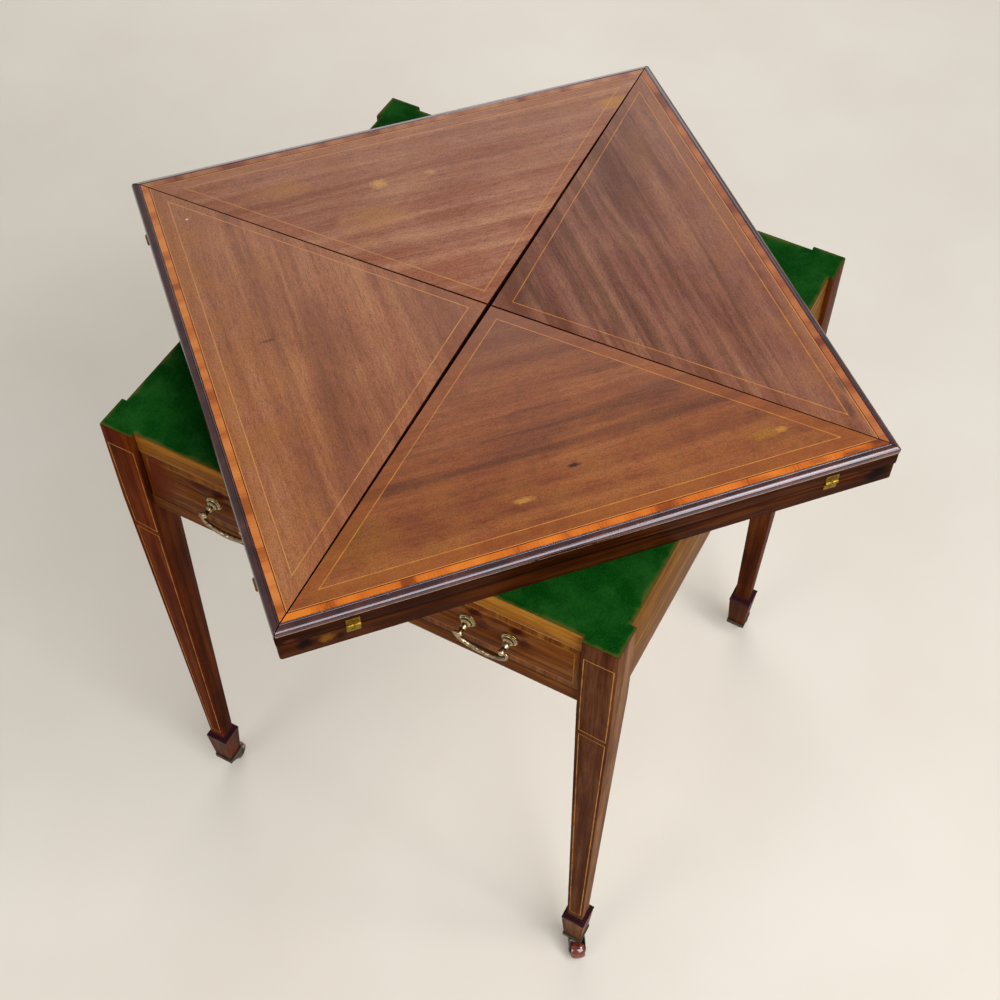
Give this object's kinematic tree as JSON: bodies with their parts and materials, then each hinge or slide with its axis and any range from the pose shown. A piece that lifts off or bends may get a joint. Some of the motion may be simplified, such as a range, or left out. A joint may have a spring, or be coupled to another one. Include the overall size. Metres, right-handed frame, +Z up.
{
  "type": "envelope card table",
  "caption": "Square card table whose swivelling top folds open as triangular leaves over green baize, with a frieze drawer and tapered legs on castors.",
  "frame": {"origin": "on the floor, under the middle of the base and the pivot of the top", "axes": "+Z up, -Y out of the drawer front, +X to the right of a person who faces the drawer"},
  "size_m": [0.7878, 0.7878, 0.735],
  "materials": {
    "mahogany": "french polished mahogany with veneer, stringing and crossbanding, worn",
    "golden_mahogany": "polished, paler golden mahogany",
    "lining_wood": "bare pale wood",
    "dark_moulding": "dark polished moulding",
    "green_baize": "green wool baize",
    "aged_brass": "aged, part polished",
    "steel": "plain steel",
    "brown_ceramic": "glazed red-brown ceramic, opaque"
  },
  "bodies": {
    "base": {"apron_back": "mahogany", "apron_left": "mahogany", "apron_right": "mahogany", "base_baize": "green_baize", "base_board": "lining_wood", "castor_plate_back_left": "aged_brass", "castor_plate_back_right": "aged_brass", "castor_plate_front_left": "aged_brass", "castor_plate_front_right": "aged_brass", "drawer_rail_bottom": "golden_mahogany", "drawer_rail_top": "golden_mahogany", "drawer_runner_left": "lining_wood", "drawer_runner_right": "lining_wood", "leg_back_left": "mahogany", "leg_back_right": "mahogany", "leg_front_left": "mahogany", "leg_front_right": "mahogany", "pivot_rail": "lining_wood"},
    "top": {"bed_baize": "green_baize", "bed_board": "mahogany", "pivot_bolt": "steel"},
    "drawer": {"drawer_back": "lining_wood", "drawer_bottom": "lining_wood", "drawer_front": "mahogany", "drawer_side_left": "lining_wood", "drawer_side_right": "lining_wood", "handle_post_left_left": "aged_brass", "handle_post_left_right": "aged_brass", "handle_post_right_left": "aged_brass", "handle_post_right_right": "aged_brass"},
    "bail_left": {"bail_left": "aged_brass"},
    "bail_right": {"bail_right": "aged_brass"},
    "leaf_front": {"leaf_front_baize": "green_baize", "leaf_front_board": "mahogany", "leaf_front_hinge_left": "aged_brass", "leaf_front_hinge_right": "aged_brass", "leaf_front_moulding": "dark_moulding"},
    "leaf_right": {"leaf_right_baize": "green_baize", "leaf_right_board": "mahogany", "leaf_right_hinge_left": "aged_brass", "leaf_right_hinge_right": "aged_brass", "leaf_right_moulding": "dark_moulding"},
    "leaf_back": {"leaf_back_baize": "green_baize", "leaf_back_board": "mahogany", "leaf_back_hinge_left": "aged_brass", "leaf_back_hinge_right": "aged_brass", "leaf_back_moulding": "dark_moulding"},
    "leaf_left": {"leaf_left_baize": "green_baize", "leaf_left_board": "mahogany", "leaf_left_hinge_left": "aged_brass", "leaf_left_hinge_right": "aged_brass", "leaf_left_moulding": "dark_moulding"},
    "castor_front_left": {"castor_horn_front_left": "aged_brass"},
    "wheel_front_left": {"castor_wheel_front_left": "brown_ceramic"},
    "castor_front_right": {"castor_horn_front_right": "aged_brass"},
    "wheel_front_right": {"castor_wheel_front_right": "brown_ceramic"},
    "castor_back_right": {"castor_horn_back_right": "aged_brass"},
    "wheel_back_right": {"castor_wheel_back_right": "brown_ceramic"},
    "castor_back_left": {"castor_horn_back_left": "aged_brass"},
    "wheel_back_left": {"castor_wheel_back_left": "brown_ceramic"}
  },
  "joints": [
    {"name": "top_swivel", "type": "hinge", "parent": "base", "child": "top", "pos_m": [0, 0, 0.6917], "axis": [0, 0, 1], "range_deg": [-47.9, 42.1]},
    {"name": "leaf_front_fold", "type": "hinge", "parent": "top", "child": "leaf_front", "pos_m": [0.20731, -0.18732, 0.71365], "axis": [0.6704, 0.742, 0], "range_deg": [0, 180]},
    {"name": "leaf_right_fold", "type": "hinge", "parent": "top", "child": "leaf_right", "pos_m": [0.18732, 0.20731, 0.71365], "axis": [-0.742, 0.6704, 0], "range_deg": [0, 180]},
    {"name": "leaf_back_fold", "type": "hinge", "parent": "top", "child": "leaf_back", "pos_m": [-0.20731, 0.18732, 0.71365], "axis": [-0.6704, -0.742, 0], "range_deg": [0, 180]},
    {"name": "leaf_left_fold", "type": "hinge", "parent": "top", "child": "leaf_left", "pos_m": [-0.18732, -0.20731, 0.71365], "axis": [0.742, -0.6704, 0], "range_deg": [0, 180]},
    {"name": "drawer_slide", "type": "slide", "parent": "base", "child": "drawer", "axis": [0, -1, 0], "range_m": [0, 0.28]},
    {"name": "bail_left_swing", "type": "hinge", "parent": "drawer", "child": "bail_left", "pos_m": [-0.1285, -0.2719, 0.63545], "axis": [-1, 0, 0], "range_deg": [-25.5, 149.5]},
    {"name": "bail_right_swing", "type": "hinge", "parent": "drawer", "child": "bail_right", "pos_m": [0.138, -0.2719, 0.63545], "axis": [-1, 0, 0], "range_deg": [-18, 157]},
    {"name": "castor_front_left_swivel", "type": "hinge", "parent": "base", "child": "castor_front_left", "pos_m": [-0.2445, -0.2445, 0.0302], "axis": [0, 0, 1], "continuous": true},
    {"name": "wheel_front_left_spin", "type": "hinge", "parent": "castor_front_left", "child": "wheel_front_left", "pos_m": [-0.24659, -0.22965, 0.0115], "axis": [-0.9903, -0.1392, 0], "continuous": true},
    {"name": "castor_front_right_swivel", "type": "hinge", "parent": "base", "child": "castor_front_right", "pos_m": [0.2445, -0.2445, 0.0302], "axis": [0, 0, 1], "continuous": true},
    {"name": "wheel_front_right_spin", "type": "hinge", "parent": "castor_front_right", "child": "wheel_front_right", "pos_m": [0.25332, -0.25664, 0.0115], "axis": [0.809, 0.5878, 0], "continuous": true},
    {"name": "castor_back_right_swivel", "type": "hinge", "parent": "base", "child": "castor_back_right", "pos_m": [0.2445, 0.2445, 0.0302], "axis": [0, 0, 1], "continuous": true},
    {"name": "wheel_back_right_spin", "type": "hinge", "parent": "castor_back_right", "child": "wheel_back_right", "pos_m": [0.24424, 0.2595, 0.0115], "axis": [-0.9998, -0.0175, 0], "continuous": true},
    {"name": "castor_back_left_swivel", "type": "hinge", "parent": "base", "child": "castor_back_left", "pos_m": [-0.2445, 0.2445, 0.0302], "axis": [0, 0, 1], "continuous": true},
    {"name": "wheel_back_left_spin", "type": "hinge", "parent": "castor_back_left", "child": "wheel_back_left", "pos_m": [-0.2586, 0.23937, 0.0115], "axis": [0.342, -0.9397, 0], "continuous": true}
  ]
}
